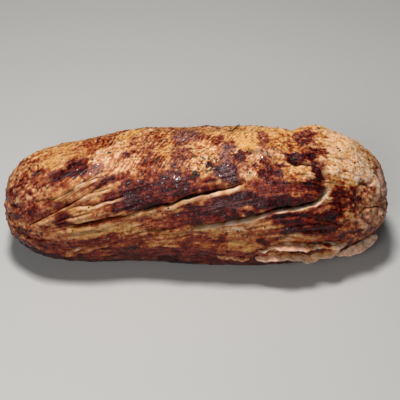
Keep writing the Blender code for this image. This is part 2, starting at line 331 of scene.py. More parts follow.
# The folds: depth, width, overhang, swelling above, lip below, paleness of the lip at its start
# and at its end, and the line
FOLDS = (
    # the long split that climbs the front from left to middle, and the ledge under it
    (6.5, 1.35, 1.2, 4.6, 1.4, 0.1, 1.0, ((-84, 74), (-70, 71), (-58, 69), (-49.5, 68.5), (-42, 67),
        (-36, 64.5), (-32, 64), (-26, 61), (-21, 59.5), (-15, 58.5), (-10, 55), (-5, 53.5), (4, 51),
        (12, 48.5), (22, 45.5), (33, 40.5))),
    # the second split, which carries on below it to the right and turns up round the whorl
    (6.5, 1.7, 1.2, 4.4, 0.8, 0.7, 0.9, ((-5, 79), (3, 77.5), (14, 74.5), (27, 71), (38, 67), (48, 63.5),
        (55, 61.5), (63, 60), (70, 58.5), (76, 56.5), (81, 51.5), (85, 46), (87, 43))),
    # creases at the left end
    (2.6, 0.9, 0.8, 1.2, 0.8, 0.1, 0.1, ((-117, 29), (-110, 24), (-103, 18), (-98, 14.5), (-93, 15))),
    (1.6, 0.7, 0.4, 0.6, 0.6, 0.3, 0.3, ((-113, 33), (-107, 29), (-101, 23))),
    (2.6, 1.2, 0.0, 1.8, -0.8, 0.0, 0.0,
     ((-101, 34), (-94, 28.5), (-89, 24), (-84, 18), (-79, 12), (-69, 5))),
    (3.0, 0.8, 0.8, 1.2, 1.0, 0.3, 0.6,
     ((-95, 50), (-89, 48), (-84, 45), (-80, 42.5), (-76, 38.5), (-70, 34.5), (-58, 27))),
    (2.0, 0.6, 0.4, 0.6, 1.0, 0.6, 0.8, ((-88, 45.5), (-79, 41), (-71.5, 37.5), (-64.5, 35.5), (-57, 35))),
    (1.4, 0.6, 0.3, 0.4, 0.9, 0.6, 0.6, ((-80, 53.5), (-70, 47.5), (-61.5, 46.5), (-52, 45))),
    (4.6, 0.9, 1.2, 2.4, 1.2, 0.4, 0.6,
     ((-109, 77), (-104, 71.5), (-99, 67), (-91, 60), (-86, 56), (-82, 53.5),
        (-74, 49), (-67, 45), (-56, 40))),
    (2.4, 0.7, 0.6, 0.8, 1.0, 0.6, 0.8,
     ((-82, 57.5), (-76, 55.5), (-65, 56.5), (-59, 54.5), (-50, 53), (-42, 51))),
    (2.4, 0.8, 0.8, 1.0, 1.0, 0.6, 0.6, ((-90, 107), (-81, 100), (-75, 96), (-67, 92))),
    # short ones between and under the two long splits
    (2.4, 0.8, 0.6, 0.8, 0.8, 0.5, 0.5, ((-21, 88.5), (-12, 87.5), (-2, 85.5))),
    (1.8, 0.7, 0.5, 0.6, 0.7, 0.5, 0.5, ((-38, 97), (-24, 95))),
    (2.0, 0.7, 0.5, 0.6, 0.7, 0.4, 0.4, ((-30, 74.5), (-16, 71.5))),
    (2.4, 0.8, 0.6, 0.8, 0.8, 0.0, 0.1, ((50, 78), (66, 75.5), (82, 73.5), (92, 76))),
    (2.0, 0.8, 0.5, 0.6, 0.7, 0.2, 0.2, ((8, 92), (24, 90.5), (40, 91))),
    (2.0, 0.8, 0.5, 0.8, 0.7, 0.2, 0.2, ((58, 82), (74, 81), (90, 84))),
    (1.6, 0.6, 0.3, 0.3, 0.6, 0.3, 0.3,
     ((41, 73.5), (49, 70), (61, 67), (70, 68), (78, 70), (94, 78), (103, 84))),
    (1.6, 0.7, 0.3, 0.3, 0.8, 0.4, 0.4, ((-96, 112), (-84, 106), (-72, 98), (-62, 95), (-54, 94))),
    # the crevice above the thin flaps at the lower right
    (5.5, 1.2, 1.2, 1.8, 1.6, 0.6, 0.7, ((38, 102), (44, 97), (51, 94.2), (60, 90.5), (70, 93.5),
        (79, 97), (84, 95.5), (91, 98), (98, 102))),
    (3.0, 1.1, 0.4, 0.4, 0.3, 0.0, 0.0,
     ((38, 104), (47, 101.5), (53, 100.5), (60, 101.5), (68, 105), (76, 108))),
    # the whorl at the upper right: a dark hollow, and the furrow that curls down round a pale patch
    (5.0, 2.0, 0.0, 1.2, 0.4, 0.0, 0.0, ((60, 19), (66, 22), (73, 22.5), (79, 25))),
    (2.4, 1.8, 0.0, 1.4, 0.0, 0.0, 0.0, ((79, 14), (83, 24), (83, 36), (79, 45))),
    (1.8, 1.2, 0.0, 0.8, 0.0, 0.0, 0.0, ((30, 16), (36, 12), (45, 13), (50, 20), (49, 30))),
    # cracks at the right end
    (3.4, 0.9, 0.8, 1.2, 0.8, 0.1, 0.1, ((105, 75), (109, 69), (113, 66), (118, 65.5), (125, 68))),
    (1.8, 0.8, 0.3, 0.8, 0.4, 0.0, 0.0, ((104, 46), (108, 40), (113, 41), (116, 34))),
    (2.6, 1.3, 0.0, 0.8, 0.0, 0.0, 0.0, ((105, 45), (104, 55), (105, 64), (107, 72))),
    (2.6, 0.9, 0.3, 0.8, 1.4, 0.2, 0.3, ((112, 66), (110, 74), (112, 82), (118, 88))),
    (2.4, 0.9, 0.3, 0.6, 1.6, 0.8, 0.9, ((119, 18), (121.5, 30), (122.5, 44), (123, 57))),
    (1.8, 0.8, 0.2, 0.8, 0.5, 0.1, 0.1, ((84, 8), (92, 14), (100, 12), (108, 18))),
    (1.6, 0.7, 0.2, 0.8, 0.5, 0.1, 0.1, ((90, 34), (98, 30), (106, 33), (113, 28))),
    # folds at the back
    (5.5, 1.2, 1.8, 3.6, 1.4, 0.7, 0.7,
     ((-100, -64), (-78, -70), (-50, -73), (-15, -70), (8, -65), (32, -58))),
    (5.0, 1.2, 1.6, 3.2, 1.4, 0.6, 0.6, ((-12, -93), (30, -86), (64, -74), (84, -67), (99, -62))),
    (2.6, 0.8, 0.8, 1.0, 1.0, 0.5, 0.5, ((-114, -86), (-80, -98), (-44, -96))),
    (2.4, 0.8, 0.6, 0.8, 0.8, 0.4, 0.4, ((42, -28), (66, -34), (88, -29))),
    (2.4, 0.8, 0.6, 1.0, 0.9, 0.5, 0.5, ((-96, -38), (-70, -46), (-40, -48))),
    (2.4, 0.8, 0.6, 1.0, 0.9, 0.5, 0.5, ((20, -104), (60, -100), (100, -92))),
)
FADE = 8.0
ROLL_REACH = 10.0
for depth, width, overhang, swelling, lip, pale_start, pale_end, line in FOLDS:
    near, below, share_along, strength = beside(line, FADE)
    side = 1 if line[0][1] > 0 else -1
    below = below + 0.35 * grain(body_place[near], 11, line[0][0]) + 0.25 * grain(body_place[near], 3.6, 36)
    upper, lower = np.minimum(below, 0), np.maximum(below, 0)
    roll = swelling * np.exp(upper / ROLL_REACH) * (1 - np.exp(-((upper / 3.4) ** 2)))
    edge = ease(width + 2.0 * lip, width + 3.4 * lip, lower)
    ledge = lip * ease(0.7 * width, 1.6 * width, lower) * (1 - 0.7 * edge) * np.exp(-lower / 14)
    slit = depth * np.exp(-((np.abs(below - 0.2) / width) ** 3))
    raised[near] += strength * (roll + ledge - slit)
    slid[near] += strength * side * overhang * np.exp(-(((below + 1.5 * width) / (1.5 * width)) ** 2))
    paleness = pale_start + (pale_end - pale_start) * share_along
    band = ease(0.6 * width, 1.1 * width, below) * (1 - ease(width + 1.7 * lip, width + 2.5 * lip, below))
    rim[near] = np.maximum(rim[near], strength * paleness * band)
    # painted shade in the slit
    fold_shadow = strength * min(1, depth / 4) * np.exp(-((np.abs(below - 0.1) / (1.05 * width)) ** 3))
    cleft_shade[near] = np.maximum(cleft_shade[near], fold_shadow)

# Many short creases that follow the grain, between the big folds
shuffle = np.random.default_rng(11)
CREASES = 190
crease_rim = np.zeros_like(x)
for _ in range(CREASES):
    start, number = shuffle.uniform(-118, 96), shuffle.uniform(-120, 112)
    length, depth = shuffle.uniform(9, 34), shuffle.uniform(0.4, 1.3)
    if -45 < number < 34 and start + length > -60 or start + length > 104:
        continue
    width = shuffle.uniform(0.45, 0.85)
    drift, bend = shuffle.uniform(-0.05, 0.05), shuffle.uniform(0, 6.3)
    line_number = number + drift * (x - start) + 0.8 * np.sin((x - start) / 7 + bend)
    below = (fibre - line_number) * fibre_width
    along = ease(0, 1, np.minimum(x - start, start + length - x) / 5) * fullness**2
    raised -= along * depth * np.exp(-((below / width) ** 2))
    raised += along * 0.4 * depth * np.exp(-(((below - 1.9 * width) / width) ** 2))
    crease_rim = np.maximum(crease_rim, along * 0.3 * np.exp(-(((below - 1.9 * width) / width) ** 2)))
    # painted shade in the crease
    cleft_shade = np.maximum(cleft_shade, along * 0.6 * depth * np.exp(-((below / width) ** 2)))

points += outward * raised[:, None] + onward * slid[:, None]
points[:, 2] -= SINK


def write_points(piece, places_mm):
    piece.data.vertices.foreach_set("co", (places_mm * MM).ravel())
    piece.data.update()


def read_normals(piece):
    normals = np.empty(len(piece.data.vertices) * 3)
    piece.data.vertices.foreach_get("normal", normals)
    return normals.reshape(-1, 3)


write_points(joint, points)
normals = read_normals(joint)

# The fine surface: strands along the grain on the front, wrinkles across it on the top, and a
# lumpy crust where the meat has dried and browned
top_wrinkles = ease(-85, -60, x) * (1 - ease(40, 60, x))
top_wrinkles = top_wrinkles * ease(-45, -20, degrees) * (1 - ease(28, 45, degrees))
ends = np.maximum(1 - ease(-108, -88, x), ease(84, 100, x))
strands = (1 - top_wrinkles) * (1 - 0.7 * ends)
ripple = 1 - np.abs(grain(strand_place, (26, 2.6, 1), 1))
fine_ripple = 1 - np.abs(grain(strand_place, (13, 1.3, 1), 2))
wrinkle = 1 - np.abs(grain(cross_place, (2.6, 12, 1), 3))
fine_wrinkle = 1 - np.abs(grain(cross_place, (1.5, 6, 1), 4))
curd_place = body_place + 1.2 * np.stack([grain(body_place, 4, seed) for seed in (61, 62, 63)], -1)
curd_edge = np.array([noise.voronoi(place)[0][:2] for place in (curd_place / (8, 6.5, 6.5)).tolist()])
curds = ease(0.0, 0.26, curd_edge[:, 1] - curd_edge[:, 0])
crags = 0.6 - np.abs(grain(body_place, (13, 9, 9), 21))
small_crags = 0.6 - np.abs(grain(body_place, (5, 4.4, 4.4), 22))
small_lumps = grain(body_place, (2.8, 2.6, 2.6), 6)
bumpy = ease(-70, -52, x) * ease(-60, -30, degrees) * (1 - ease(30, 48, degrees))
bumpy = np.maximum(bumpy, ends) * (1 - 0.7 * top_wrinkles)
relief = strands * (0.50 * (ripple - 0.6) + 0.28 * (fine_ripple - 0.6))
relief += top_wrinkles * (0.60 * (wrinkle - 0.6) + 0.35 * (fine_wrinkle - 0.6))
relief += bumpy * (0.45 + 0.35 * grain(body_place, 12, 64)) * (curds - 0.7)
relief += bumpy * 0.35 * (0.6 - np.abs(grain(body_place, (3.2, 2.8, 2.8), 65)))
pits = (1 - ease(-112, -98, x)) * ease(0.15, 0.55, grain(body_place, (3.0, 2.6, 5.5), 66))
relief -= 0.6 * pits
relief += (0.8 + 0.5 * bumpy) * crags + 0.35 * small_crags + (0.16 + 0.10 * bumpy) * small_lumps
points = points + normals * (relief * (1 - 0.6 * cleft_shade))[:, None]
points[:, 2] = np.maximum(points[:, 2], 0.0)
write_points(joint, points)

# Where the pan has browned it, painted on in dabs that cover one another as they come, and painted
# shade in a few near-black dabs along the slits and between the thin flaps:
# x, turn, reach along x, reach round, browning (0 raw pale, 0.4 golden, 0.6 russet, 0.8 mahogany,
# 1 char), blush (pink or, where dark, purple) and gold
DABS = (
    # the back, where the browning is guessed
    (-80, -60, 40, 20, 0.55, 0.1, 0.2), (-20, -50, 40, 25, 0.45, 0.1, 0.3), (40, -70, 40, 20, 0.75, 0.2, 0.0),
    (95, -60, 25, 25, 0.30, 0.1, 0.4), (-40, -95, 60, 15, 0.60, 0.2, 0.0), (50, -100, 50, 15, 0.35, 0.2, 0.1),
    # the left end: a golden top, a dark wedge and a brown end
    (-100, -20, 20, 25, 0.30, 0.1, 0.4), (-95, 5, 15, 15, 0.30, 0.1, 0.4), (-65, -15, 10, 20, 0.55, 0.0, 0.2),
    (-105, 20, 10, 4, 0.65, 0.1, 0.1), (-90, 25, 10, 5, 0.30, 0.4, 0.1), (-80, 25, 15, 8, 0.85, 0.2, 0.0),
    (-75, 15, 9, 9, 0.80, 0.1, 0.0), (-110, 40, 12, 18, 0.40, 0.3, 0.0), (-110, 60, 14, 9, 0.50, 0.3, 0.0),
    (-90, 35, 8, 5, 0.60, 0.1, 0.0), (-85, 55, 12, 4, 0.65, 0.2, 0.0), (-75, 45, 15, 3, 0.35, 0.2, 0.1),
    (-85, 70, 6, 7, 0.75, 0.1, 0.0), (-105, 75, 8, 8, 0.40, 0.2, 0.1), (-70, 60, 12, 4, 0.30, 0.0, 0.3),
    (-60, 70, 20, 3, 0.65, 0.1, 0.0), (-60, 80, 25, 6, 0.25, 0.0, 0.6), (-60, 90, 22, 4, 0.65, 0.0, 0.0),
    (-80, 100, 35, 6, 0.65, 0.2, 0.0), (-110, 90, 8, 6, 0.60, 0.3, 0.0),
    # the middle, top: ashen on the left, red and gold, then pale and violet to the right
    (-60, 15, 9, 16, 0.15, 0.2, 0.0), (-50, 0, 8, 15, 0.20, 0.1, 0.2), (-65, 25, 6, 7, 0.55, 0.9, 0.0),
    (-45, -20, 7, 10, 0.25, 0.0, 0.8), (-45, 15, 3, 4, 0.95, 0.6, 0.0), (-35, 5, 9, 15, 0.45, 0.2, 0.1),
    (-45, 30, 8, 9, 0.25, 0.2, 0.0), (-30, 30, 7, 9, 0.60, 0.0, 0.1), (-45, 40, 8, 4, 0.60, 0.1, 0.0),
    (-60, 40, 8, 4, 0.70, 0.5, 0.0), (-25, -15, 8, 10, 0.45, 0.0, 0.3), (-20, 15, 6, 8, 0.35, 0.0, 0.4),
    (-15, 0, 5, 7, 0.45, 0.1, 0.6), (-5, -10, 8, 12, 0.65, 0.8, 0.0), (-10, 20, 6, 12, 0.55, 0.5, 0.0),
    (-15, 40, 12, 6, 0.75, 0.5, 0.0), (-25, 35, 5, 4, 0.55, 0.1, 0.0), (-35, 45, 10, 4, 0.70, 0.3, 0.0),
    (5, 10, 7, 10, 0.25, 0.1, 0.2), (5, 30, 8, 9, 0.20, 0.0, 0.1), (15, 15, 5, 10, 0.15, 0.0, 0.1),
    (10, 30, 2, 3, 0.90, 0.1, 0.0), (0, 40, 3, 3, 0.85, 0.1, 0.0), (20, 15, 6, 14, 0.60, 1.0, 0.0),
    (20, 35, 9, 6, 0.85, 0.9, 0.0), (15, -15, 8, 10, 0.35, 0.1, 0.5), (35, -15, 14, 18, 0.25, 0.0, 0.7),
    (35, 5, 9, 6, 0.20, 0.0, 0.8), (35, 15, 6, 3, 0.85, 0.4, 0.0), (30, 20, 3, 6, 0.80, 0.5, 0.0),
    (30, 30, 5, 6, 0.30, 0.5, 0.0), (40, 20, 3, 7, 0.15, 0.3, 0.0), (35, 35, 5, 5, 0.20, 0.2, 0.0),
    (45, -5, 4, 14, 0.60, 0.5, 0.0), (45, 30, 5, 10, 0.70, 0.1, 0.0),
    # the middle, front: dark rolls above the two long splits, lighter below them, and painted shade in a
    # near-black dab along the second split
    (-30, 50, 20, 7, 0.80, 0.3, 0.0), (-5, 50, 18, 5, 0.80, 0.2, 0.0), (-45, 55, 5, 4, 0.85, 0.8, 0.0),
    (-50, 60, 12, 4, 0.60, 0.1, 0.0), (-30, 60, 16, 4, 0.85, 0.1, 0.0), (-30, 75, 10, 4, 0.55, 0.1, 0.0),
    (-20, 80, 14, 6, 0.55, 0.1, 0.1), (-5, 70, 12, 7, 0.75, 0.1, 0.0), (-20, 85, 10, 3, 0.35, 0.0, 0.4),
    (-5, 90, 10, 4, 0.60, 0.1, 0.0), (-20, 95, 9, 5, 0.35, 0.0, 0.1), (-40, 95, 9, 6, 0.60, 0.1, 0.0),
    (-20, 105, 30, 5, 0.70, 0.2, 0.0), (5, 65, 14, 7, 0.80, 0.4, 0.0), (20, 60, 14, 6, 0.80, 0.6, 0.0),
    (20, 70, 12, 4, 0.75, 0.0, 0.0), (40, 55, 20, 5, 0.85, 0.5, 0.0), (45, 65, 18, 3, 0.95, 0.2, 0.0),
    (10, 80, 8, 3, 0.20, 0.0, 0.7), (25, 80, 8, 3, 0.10, 0.2, 0.0), (25, 85, 9, 4, 0.50, 0.1, 0.1),
    (10, 90, 12, 4, 0.65, 0.1, 0.0), (40, 85, 8, 5, 0.40, 0.1, 0.1), (45, 90, 4, 4, 0.85, 0.0, 0.0),
    (30, 95, 10, 4, 0.35, 0.0, 0.8), (10, 95, 8, 4, 0.50, 0.0, 0.2), (10, 105, 20, 5, 0.70, 0.2, 0.0),
    # the right third: gold and red round the whorl, and dark crust under it; near-black lines along the
    # whorl's hollow and the second split are painted shade
    (60, -20, 14, 14, 0.25, 0.0, 0.7), (80, -35, 12, 12, 0.30, 0.0, 0.7), (55, 0, 7, 10, 0.35, 0.0, 0.6),
    (65, 5, 8, 8, 0.45, 0.0, 0.8), (75, -10, 8, 14, 0.60, 0.3, 0.0), (85, -15, 5, 12, 0.40, 0.0, 0.4),
    (75, 5, 6, 5, 0.40, 0.0, 0.3), (80, 10, 9, 6, 0.80, 0.2, 0.0), (65, 15, 10, 4, 0.80, 0.1, 0.0),
    (70, 25, 12, 4, 0.95, 0.0, 0.0), (55, 20, 5, 6, 0.40, 0.1, 0.2), (55, 30, 6, 7, 0.70, 0.1, 0.0),
    (65, 30, 8, 6, 0.25, 0.0, 0.4), (75, 30, 5, 6, 0.25, 0.0, 0.3), (80, 35, 3, 14, 0.85, 0.3, 0.0),
    (50, 45, 14, 5, 0.70, 0.1, 0.0), (65, 45, 7, 4, 0.65, 0.0, 0.1), (75, 45, 8, 5, 0.80, 0.1, 0.0),
    (60, 55, 16, 5, 0.85, 0.4, 0.0), (65, 60, 18, 3, 0.95, 0.0, 0.0), (75, 70, 24, 5, 0.85, 0.0, 0.0),
    (75, 80, 22, 5, 0.85, 0.2, 0.0), (70, 90, 10, 4, 0.40, 0.0, 0.2), (85, 95, 8, 3, 0.75, 0.0, 0.0),
    # the right end: cream, with a scorched patch and a pinkish chunk below
    (100, 0, 15, 42, 0.05, 0.0, 0.3), (95, 30, 10, 12, 0.10, 0.0, 0.2), (110, 25, 10, 20, 0.10, 0.0, 0.1),
    (95, 40, 9, 5, 0.30, 0.0, 0.5), (115, -25, 8, 20, 0.25, 0.0, 0.4), (125, 30, 4, 30, 0.10, 0.8, 0.0),
    (85, 50, 4, 6, 0.05, 0.1, 0.0), (95, 55, 8, 11, 0.70, 0.0, 0.0), (100, 50, 4, 5, 0.55, 0.0, 0.3),
    (105, 60, 3, 14, 0.85, 0.1, 0.0), (115, 50, 8, 14, 0.25, 0.2, 0.0), (110, 65, 5, 7, 0.30, 0.2, 0.0),
    (100, 75, 7, 7, 0.35, 0.0, 0.2), (115, 80, 9, 12, 0.20, 0.6, 0.0), (100, 90, 8, 4, 0.75, 0.0, 0.0),
    (90, 90, 5, 3, 0.60, 0.0, 0.3),
    # painted shade: near black in the clefts between the thin flaps
    (60, 102, 22, 2, 0.95, 0.0, 0.0), (60, 112, 26, 5, 0.80, 0.1, 0.0), (70, 95, 25, 2, 0.85, 0.0, 0.0),
)
# how brown the bare skin is, and how softly a dab ends
BASE_BROWNING = 0.42
DAB_EDGE = (0.14, 0.56)
browning_and_shade = BASE_BROWNING + 0.16 * grain(strand_place, (20, 8, 1), 31) + 0.12 * grain(body_place, 6, 32)
blush = 0.15 + 0.15 * grain(body_place, 15, 33)
gold = 0.15 + 0.2 * grain(body_place, 18, 34)
# browner underneath: partly a seared underside, partly painted shade
browning_and_shade += 0.35 * ease(98, 112, np.abs(degrees))
ragged_x = x + 2.4 * grain(body_place, 9, 7) + 1.2 * grain(body_place, 3.2, 8)
ragged_turn = degrees + 2.4 * grain(body_place, 9, 9) + 1.2 * grain(body_place, 3.2, 10)
patchy = 0.12 * grain(strand_place, (9, 3, 1), 11) + 0.12 * grain(body_place, 2.4, 12)
for at_x, at_turn, reach_x, reach_turn, brown, pink, yellow in DABS:
    off = ((ragged_x - at_x) / reach_x) ** 2 + ((ragged_turn - at_turn) / reach_turn) ** 2
    cover = ease(*DAB_EDGE, np.exp(-off) + patchy * (off < 4))
    browning_and_shade += cover * (brown - browning_and_shade)
    blush += cover * (pink - blush)
    gold += cover * (yellow - gold)
front = 1 - np.maximum(bumpy, top_wrinkles)
browning_and_shade += 0.12 * grain(strand_place, (16, 1.8, 1), 13) * front
browning_and_shade += (0.08 + 0.06 * bumpy) * grain(body_place, 2.2, 14) + 0.08 * bumpy * grain(body_place, 4, 15)
# raised parts paler and hollows darker: painted highlight on crests and painted shade in hollows
browning_and_shade -= 0.14 * np.clip(relief, -1, 1)
browning_and_shade += 0.05 * ease(20, 60, degrees)
# darker in the pits and the seams between curds; the top wrinkles' crests are paler as painted highlight
browning_and_shade += 0.22 * pits + 0.16 * bumpy * (1 - curds) - 0.10 * top_wrinkles * (wrinkle - 0.6)
browning_and_shade = np.clip(browning_and_shade, 0, 1)
rim = np.clip(rim * (0.9 + 0.3 * grain(body_place, 4.5, 37)), 0, 1)
rim = np.maximum(rim, crease_rim * (1 - ease(0.4, 0.6, browning_and_shade)))


def paint(piece, name, values):
    layer = piece.data.attributes.new(name, "FLOAT", "POINT")
    layer.data.foreach_set("value", values.astype(np.float32))


# the underside is shaded, from these turns on either side
UNDERSIDE_STARTS = 106
UNDERSIDE_FULL = 122
UNDERSIDE_SHADE = 0.5
cleft_shade = np.maximum(cleft_shade, UNDERSIDE_SHADE * ease(UNDERSIDE_STARTS, UNDERSIDE_FULL, np.abs(degrees)))
skin_layers = {
    "browning_and_shade": browning_and_shade,
    "blush": blush,
    "gold": gold,
    "rim": rim,
    "cleft_shade": cleft_shade,
    "front": front,
    "across": top_wrinkles,
}
for name, values in skin_layers.items():
    paint(joint, name, values)

# The grain map: x along it and the fibre number across it, so streaks follow the meat
corners = np.empty(len(joint.data.loops), dtype=np.int32)
joint.data.loops.foreach_get("vertex_index", corners)
starts = np.empty(len(joint.data.polygons), dtype=np.int32)
joint.data.polygons.foreach_get("loop_start", starts)
counts = np.diff(np.append(starts, len(corners)))
face_of = np.repeat(np.arange(len(starts)), counts)
corner_fibre = fibre[corners]
highest = np.maximum.reduceat(corner_fibre, starts)[face_of]
corner_fibre = np.where(highest - corner_fibre > 180, corner_fibre + 360, corner_fibre)
grain_map = np.stack([x[corners] * MM, corner_fibre * FIBRE_MM * MM], -1)
joint.data.uv_layers[0].name = "grain_map"
joint.data.uv_layers[0].data.foreach_set("uv", grain_map.astype(np.float32).ravel())
bpy.ops.object.shade_smooth()


def linear(red, green, blue):
    """A colour given as 0 to 255 in sRGB, as the shader's linear light."""
    def one(value):
        value /= 255
        return value / 12.92 if value <= 0.04045 else ((value + 0.055) / 1.055) ** 2.4
    return (one(red), one(green), one(blue), 1)


PALE_FAT = linear(240, 206, 182)
PALE_MEAT = linear(222, 174, 122)
GOLDEN = linear(192, 116, 58)
AMBER = linear(164, 68, 22)
RUSSET = linear(126, 28, 12)
MAHOGANY = linear(68, 8, 8)
CHAR_AND_SHADE = linear(12, 4, 5)
BLUSH_PALE = linear(212, 146, 124)
BLUSH_DARK = linear(76, 24, 30)
PAINTED_SHEEN = linear(206, 176, 172)
YELLOW = linear(226, 166, 76)

beef = bpy.data.materials.new("seared_beef")
beef.use_nodes = True
tree = beef.node_tree
shader = tree.nodes["Principled BSDF"]


def wire(source, target):
    tree.links.new(source, target)


def attribute(name):
    node = tree.nodes.new("ShaderNodeAttribute")
    node.attribute_name = name
    return node.outputs["Fac"]


def sums(operation, one, other=None, clamp=False):
    node = tree.nodes.new("ShaderNodeMath")
    node.operation = operation
    node.use_clamp = clamp
    for socket, value in zip(node.inputs, (one, other)):
        if value is None:
            continue
        if isinstance(value, (int, float)):
            socket.default_value = value
        else:
            wire(value, socket)
    return node.outputs[0]


def blend_colour(amount, one, other, mode="MIX"):
    node = tree.nodes.new("ShaderNodeMix")
    node.data_type = "RGBA"
    node.blend_type = mode
    node.clamp_factor = True
    for socket, value in ((node.inputs[0], amount), (node.inputs[6], one), (node.inputs[7], other)):
        if isinstance(value, (int, float, tuple)):
            socket.default_value = value
        else:
            wire(value, socket)
    return node.outputs[2]


def speckle(where, scale, detail=2.0, roughness=0.5, stretch=(1, 1, 1)):
    mapping = tree.nodes.new("ShaderNodeMapping")
    mapping.inputs["Scale"].default_value = stretch
    wire(where, mapping.inputs["Vector"])
    node = tree.nodes.new("ShaderNodeTexNoise")
    node.inputs["Scale"].default_value = scale
    node.inputs["Detail"].default_value = detail
    node.inputs["Roughness"].default_value = roughness
    wire(mapping.outputs[0], node.inputs["Vector"])
    return node.outputs["Fac"]


def spread(value, low, high, to_low=0.0, to_high=1.0):
    node = tree.nodes.new("ShaderNodeMapRange")
    node.interpolation_type = "SMOOTHSTEP"
    node.inputs["From Min"].default_value = low
    node.inputs["From Max"].default_value = high
    node.inputs["To Min"].default_value = to_low
    node.inputs["To Max"].default_value = to_high
    wire(value, node.inputs["Value"])
    return node.outputs[0]


def ramp(value, stops):
    node = tree.nodes.new("ShaderNodeValToRGB")
    band = node.color_ramp
    band.elements[0].position, band.elements[0].color = stops[0]
    band.elements[1].position, band.elements[1].color = stops[-1]
    for position, colour in stops[1:-1]:
        band.elements.new(position).color = colour
    wire(value, node.inputs["Fac"])
    return node.outputs["Color"]


places = tree.nodes.new("ShaderNodeTexCoord").outputs["Object"]
grain_uv = tree.nodes.new("ShaderNodeUVMap")
grain_uv.uv_map = "grain_map"
along_grain = grain_uv.outputs["UV"]

streaks = speckle(along_grain, 1.0, 3.0, 0.6, (90, 900, 1))
fine_streaks = speckle(along_grain, 1.0, 2.0, 0.6, (260, 2400, 1))
mottle = speckle(places, 260, 3.0, 0.6)
turned = tree.nodes.new("ShaderNodeMapping")
turned.inputs["Rotation"].default_value = (0, 0, math.radians(-30))
wire(along_grain, turned.inputs["Vector"])
cross_streaks = speckle(turned.outputs[0], 1.0, 2.0, 0.5, (1000, 150, 1))
dapple = speckle(places, 520, 2.0, 0.5)
crumbs = speckle(places, 1000, 2.0, 0.6)


def vary(value, texture, amount):
    return sums("ADD", value, sums("MULTIPLY", sums("SUBTRACT", texture, 0.5), amount))


on_front = attribute("front")
off_front = sums("SUBTRACT", 1.0, on_front)
brown = vary(attribute("browning_and_shade"), streaks, sums("MULTIPLY", on_front, 0.55))
brown = vary(brown, fine_streaks, sums("MULTIPLY", on_front, 0.40))
brown = vary(brown, mottle, 0.55)
brown = vary(brown, dapple, sums("ADD", sums("MULTIPLY", off_front, 0.5), 0.35))
brown = vary(brown, crumbs, 0.45)
brown = vary(brown, cross_streaks, sums("MULTIPLY", attribute("across"), 1.1))
brown = sums("MULTIPLY", brown, sums("SUBTRACT", 1.0, sums("MULTIPLY", attribute("rim"), 0.92)), clamp=True)
colour = ramp(brown, (
    (0.0, PALE_FAT), (0.16, PALE_MEAT), (0.36, GOLDEN), (0.50, AMBER),
    (0.64, RUSSET), (0.80, MAHOGANY), (1.0, CHAR_AND_SHADE),
))
blush_colour = ramp(brown, ((0.15, BLUSH_PALE), (0.75, BLUSH_DARK)))
flushed = sums("MULTIPLY", attribute("blush"), spread(mottle, 0.3, 0.6, 0.45, 0.9))
colour = blend_colour(flushed, colour, blush_colour)
pale_parts = spread(brown, 0.55, 0.25)
colour = blend_colour(sums("MULTIPLY", sums("MULTIPLY", attribute("gold"), pale_parts), 0.7), colour, YELLOW)
# painted sheen: pale pinkish-grey flecks on the blushed, darker crust
sheen_flecks = sums(
    "MULTIPLY",
    sums("MULTIPLY", spread(attribute("blush"), 0.4, 1.0), spread(crumbs, 0.52, 0.62)),
    spread(brown, 0.4, 0.55),
)
colour = blend_colour(sums("MULTIPLY", sheen_flecks, 0.45), colour, PAINTED_SHEEN)
colour = blend_colour(sums("MULTIPLY", spread(attribute("rim"), 0.45, 0.9), 0.85), colour, PALE_FAT)
# painted shade: the slits, creases, underside and the flaps' inner sides are darkened towards near black
colour = blend_colour(sums("MULTIPLY", attribute("cleft_shade"), 0.9), colour, CHAR_AND_SHADE)
wire(colour, shader.inputs["Base Color"])
wire(vary(spread(brown, 0.4, 0.8, 0.50, 0.30), mottle, 0.5), shader.inputs["Roughness"])
beads = sums("MULTIPLY", spread(dapple, 0.56, 0.66, 0.0, 0.6), spread(brown, 0.4, 0.7))
wire(beads, shader.inputs["Coat Weight"])
shader.inputs["Coat Roughness"].default_value = 0.12
shader.inputs["Specular IOR Level"].default_value = 0.20
shader.inputs["Subsurface Weight"].default_value = 0.10
shader.inputs["Subsurface Scale"].default_value = 0.0015
height = vary(sums("MULTIPLY", dapple, 0.9), streaks, sums("MULTIPLY", on_front, 0.6))
height = sums("ADD", height, sums("MULTIPLY", crumbs, 0.3))
bump = tree.nodes.new("ShaderNodeBump")
bump.inputs["Strength"].default_value = 0.7
bump.inputs["Distance"].default_value = 0.0012
wire(height, bump.inputs["Height"])
wire(bump.outputs["Normal"], shader.inputs["Normal"])
joint.data.materials.append(beef)
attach(joint, "root")
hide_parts("roast_beef")


# ---------------------------------------------------------------------------
# The thin flaps at the lower right: trimmed edges of silverskin and fat that have curled out of
# the crevice there, one above the other. Each is drawn out from a ball into a ribbon that stays
# rooted in the joint.
def near_point(at_x, at_turn):
    """The joint's point nearest to a place given by x and turn."""
    return int(np.argmin((x - at_x) ** 2 + ((degrees - at_turn) * 0.8) ** 2))


def drawn_out(name, around, along):
    """A ball whose points are given as a share along and an angle round: the piece and those two."""
    bpy.ops.object.select_all(action="DESELECT")
    bpy.ops.mesh.primitive_uv_sphere_add(
        segments=around, ring_count=along, radius=1, rotation=(0, math.pi / 2, 0)
    )
    piece = bpy.context.object
    piece.name = name
    bpy.ops.object.transform_apply(location=False, rotation=True, scale=False)
    ball = np.empty(len(piece.data.vertices) * 3)
    piece.data.vertices.foreach_get("co", ball)
    ball = ball.reshape(-1, 3)
    share_along = 0.5 + np.arcsin(np.clip(ball[:, 0], -1, 1)) / math.pi
    return piece, share_along, np.arctan2(ball[:, 1], ball[:, 2])


